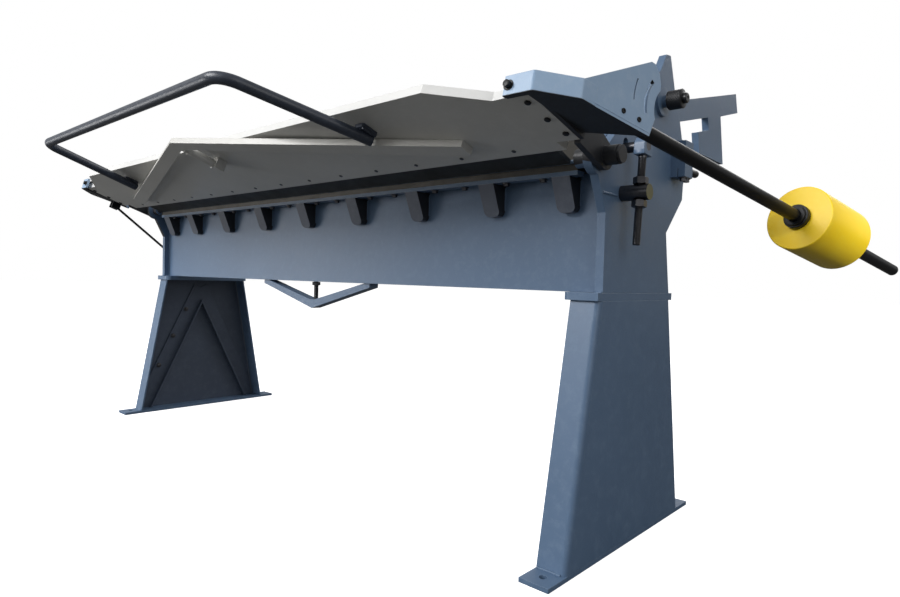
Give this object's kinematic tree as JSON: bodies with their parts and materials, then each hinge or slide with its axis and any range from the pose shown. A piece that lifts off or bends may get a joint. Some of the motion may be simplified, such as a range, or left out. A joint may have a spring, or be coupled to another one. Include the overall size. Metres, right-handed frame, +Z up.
{
  "type": "box and pan brake",
  "caption": "Hand-operated sheet folding machine with a swinging bending leaf, a segmented clamping beam on levers, a counterweight on a rod, and two tapered legs.",
  "frame": {"origin": "centre of the four anchor holes, on the floor", "axes": "+X to the end with the counterweight, +Y from the operator to the back of the machine, +Z up"},
  "size_m": [2.8129, 1.5627, 1.2621],
  "materials": {
    "frame_paint": "satin blue-grey powder coat",
    "arm_paint": "satin blue powder coat",
    "bed_steel": "satin blue-grey paint, worn on the edges",
    "leaf_paint": "satin off-white paint",
    "ground_steel": "surface-ground tool steel",
    "zinc_steel": "zinc-plated, dulled",
    "black_steel": "black oxide, oiled",
    "knob_black": "knurled, black oxide",
    "yellow_paint": "gloss enamel"
  },
  "bodies": {
    "frame": {"foot_plate_right": "frame_paint", "foot_plate_left": "frame_paint", "leg_right": "frame_paint", "leg_left": "frame_paint", "leg_brace_right": "frame_paint", "leg_brace_left": "frame_paint", "brace_bolts": "zinc_steel", "cap_plate_right": "frame_paint", "cap_plate_left": "frame_paint", "side_plate_right": "frame_paint", "side_plate_left": "frame_paint", "bed_panel": "frame_paint", "bed_rear_panel": "frame_paint", "bed_table": "bed_steel", "nose_bar": "bed_steel", "packing_bar": "bed_steel", "packing_bolts": "zinc_steel", "gussets": "frame_paint", "bed_truss": "frame_paint", "bed_truss_screw": "zinc_steel", "pivot_pins": "zinc_steel", "cross_pins": "zinc_steel", "adjusting_nuts": "zinc_steel", "gauge_blocks": "frame_paint", "gauge_bolts": "zinc_steel", "gauge_pins": "black_steel"},
    "leaf": {"leaf_plate": "leaf_paint", "bending_bar": "ground_steel", "bar_screws": "zinc_steel", "leaf_truss": "leaf_paint", "leaf_truss_screw": "leaf_paint", "handle": "black_steel", "arm_right": "arm_paint", "arm_left": "arm_paint", "arm_bolts": "zinc_steel", "counterweight_rod": "black_steel", "stop_block": "black_steel"},
    "weight": {"counterweight": "yellow_paint", "weight_collar": "black_steel"},
    "fulcrum": {"eye_bolts": "frame_paint", "fulcrum_pins": "zinc_steel"},
    "clamp": {"clamp_beam": "frame_paint", "finger_1": "ground_steel", "finger_2": "ground_steel", "finger_3": "ground_steel", "finger_4": "ground_steel", "finger_5": "ground_steel", "finger_6": "ground_steel", "finger_7": "ground_steel", "finger_8": "ground_steel", "finger_9": "ground_steel", "finger_10": "ground_steel", "finger_bar": "bed_steel", "finger_screws": "zinc_steel", "lever_right": "frame_paint", "lever_left": "frame_paint"},
    "lock_right": {"lock_pin_right": "knob_black"},
    "lock_left": {"lock_pin_left": "knob_black"},
    "stop_rod": {"stop_rod": "black_steel"},
    "stop_eye": {"stop_eye": "black_steel"}
  },
  "joints": [
    {"name": "leaf_fold", "type": "hinge", "parent": "frame", "child": "leaf", "pos_m": [0, -0.214, 0.904], "axis": [-1, 0, 0], "range_deg": [-19.7, 110]},
    {"name": "weight_slide", "type": "slide", "parent": "leaf", "child": "weight", "axis": [0.2741, 0.9353, -0.2239], "range_m": [-0.3, 0.25]},
    {"name": "clamp_height", "type": "slide", "parent": "frame", "child": "fulcrum", "axis": [0, -0.0785, -0.9969], "range_m": [-0.01, 0]},
    {"name": "clamp_tilt", "type": "hinge", "parent": "fulcrum", "child": "clamp", "pos_m": [0, -0.095, 0.942], "axis": [1, 0, 0], "range_deg": [-15, 0]},
    {"name": "lock_pin_right_slide", "type": "slide", "parent": "frame", "child": "lock_right", "axis": [-1, 0, 0], "range_m": [0, 0.011]},
    {"name": "lock_pin_left_slide", "type": "slide", "parent": "frame", "child": "lock_left", "axis": [1, 0, 0], "range_m": [0, 0.011]},
    {"name": "stop_rod_turn", "type": "hinge", "parent": "leaf", "child": "stop_rod", "pos_m": [-1.205, -0.355, 0.91603], "axis": [-1, 0, 0], "range_deg": [-65.62, 12.16]},
    {"name": "stop_eye_turn", "type": "hinge", "parent": "frame", "child": "stop_eye", "pos_m": [-1.205, -0.12119, 0.72805], "axis": [-1, 0, 0], "range_deg": [-8.54, 45.38]}
  ],
  "couplings": [
    {"joint": "stop_rod_turn", "follows": "leaf_fold", "ratio": -0.592},
    {"joint": "stop_eye_turn", "follows": "leaf_fold", "ratio": 0.408}
  ]
}
